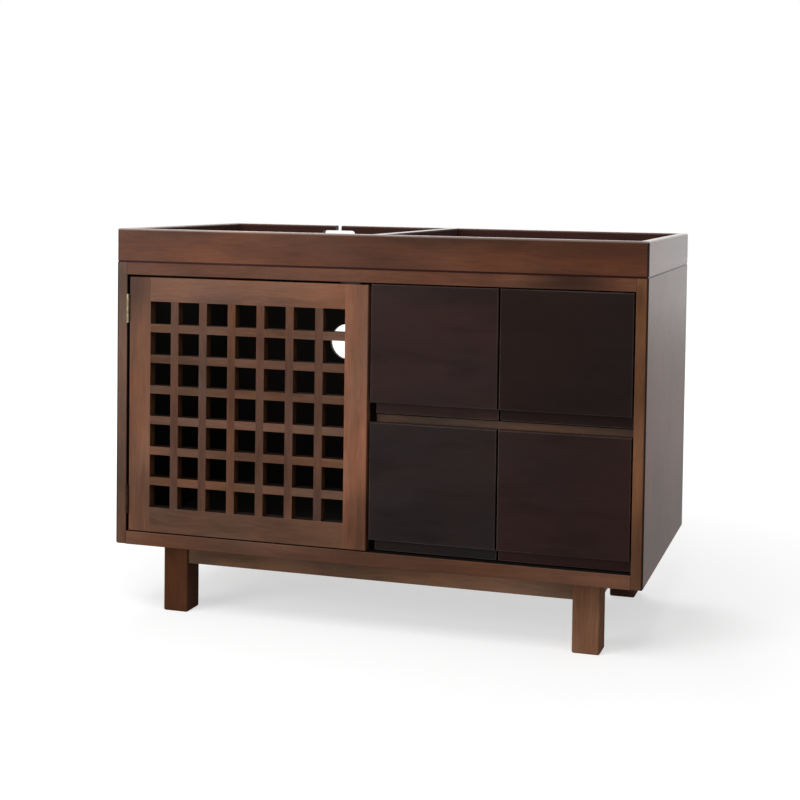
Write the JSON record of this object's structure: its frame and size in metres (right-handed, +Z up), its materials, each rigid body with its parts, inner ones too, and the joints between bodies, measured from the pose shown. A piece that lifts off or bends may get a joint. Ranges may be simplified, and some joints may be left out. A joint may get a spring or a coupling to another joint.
{
  "type": "chinese sideboard",
  "caption": "Low wooden sideboard with a square-lattice door, dark drawers with finger grips, an open divided tray top and short square legs.",
  "frame": {"origin": "on the floor, under the middle of the bounding box of the whole piece", "axes": "+X to the right as seen from the front, +Y from the front to the back, +Z up; the door and drawers face -Y"},
  "size_m": [1, 0.5196, 0.7265],
  "materials": {
    "case_wood": "satin walnut stain",
    "door_wood": "satin walnut stain",
    "drawer_face_wood": "satin black-brown stain",
    "box_wood": "matt clear",
    "back_plywood": "matt stain",
    "hinge_brass": "satin",
    "catch_plastic": "matt",
    "strike_steel": "zinc plated"
  },
  "bodies": {
    "case": {"left_side_panel": "case_wood", "right_side_panel": "case_wood", "bottom_board": "case_wood", "centre_partition": "case_wood", "drawer_upright": "case_wood", "drawer_divider_rail": "case_wood", "top_front_rail": "case_wood", "top_back_rail": "case_wood", "dust_board": "back_plywood", "back_panel": "back_plywood", "tray_front_board": "case_wood", "tray_right_board": "case_wood", "tray_back_board": "case_wood", "tray_left_board": "case_wood", "tray_divider": "case_wood", "front_left_leg": "case_wood", "front_right_leg": "case_wood", "back_left_leg": "case_wood", "back_right_leg": "case_wood", "front_apron": "case_wood", "back_apron": "case_wood", "left_apron": "case_wood", "right_apron": "case_wood", "upper_hinge_case_leaf": "hinge_brass", "lower_hinge_case_leaf": "hinge_brass", "upper_hinge_pin": "hinge_brass", "lower_hinge_pin": "hinge_brass", "magnetic_catch": "catch_plastic", "drawer_runners": "box_wood"},
    "door": {"door_left_stile": "door_wood", "door_right_stile": "door_wood", "door_bottom_rail": "door_wood", "door_top_rail": "door_wood", "lattice_upright_bars": "door_wood", "lattice_cross_bars": "door_wood", "upper_hinge_door_leaf": "hinge_brass", "lower_hinge_door_leaf": "hinge_brass", "catch_strike": "strike_steel"},
    "upper_left_drawer": {"upper_left_drawer_face": "drawer_face_wood", "upper_left_drawer_front": "drawer_face_wood", "upper_left_drawer_sides": "box_wood", "upper_left_drawer_back": "box_wood", "upper_left_drawer_bottom": "box_wood"},
    "upper_right_drawer": {"upper_right_drawer_face": "drawer_face_wood", "upper_right_drawer_front": "drawer_face_wood", "upper_right_drawer_sides": "box_wood", "upper_right_drawer_back": "box_wood", "upper_right_drawer_bottom": "box_wood"},
    "lower_left_drawer": {"lower_left_drawer_face": "drawer_face_wood", "lower_left_drawer_front": "drawer_face_wood", "lower_left_drawer_sides": "box_wood", "lower_left_drawer_back": "box_wood", "lower_left_drawer_bottom": "box_wood"},
    "lower_right_drawer": {"lower_right_drawer_face": "drawer_face_wood", "lower_right_drawer_front": "drawer_face_wood", "lower_right_drawer_sides": "box_wood", "lower_right_drawer_back": "box_wood", "lower_right_drawer_bottom": "box_wood"}
  },
  "joints": [
    {"name": "door_hinge", "type": "hinge", "parent": "case", "child": "door", "pos_m": [-0.4762, -0.257, 0.3985], "axis": [0, 0, -1], "range_deg": [0, 170]},
    {"name": "upper_left_drawer_slide", "type": "slide", "parent": "case", "child": "upper_left_drawer", "axis": [0, -1, 0], "range_m": [0, 0.3]},
    {"name": "upper_right_drawer_slide", "type": "slide", "parent": "case", "child": "upper_right_drawer", "axis": [0, -1, 0], "range_m": [0, 0.3]},
    {"name": "lower_left_drawer_slide", "type": "slide", "parent": "case", "child": "lower_left_drawer", "axis": [0, -1, 0], "range_m": [0, 0.3]},
    {"name": "lower_right_drawer_slide", "type": "slide", "parent": "case", "child": "lower_right_drawer", "axis": [0, -1, 0], "range_m": [0, 0.3]}
  ]
}
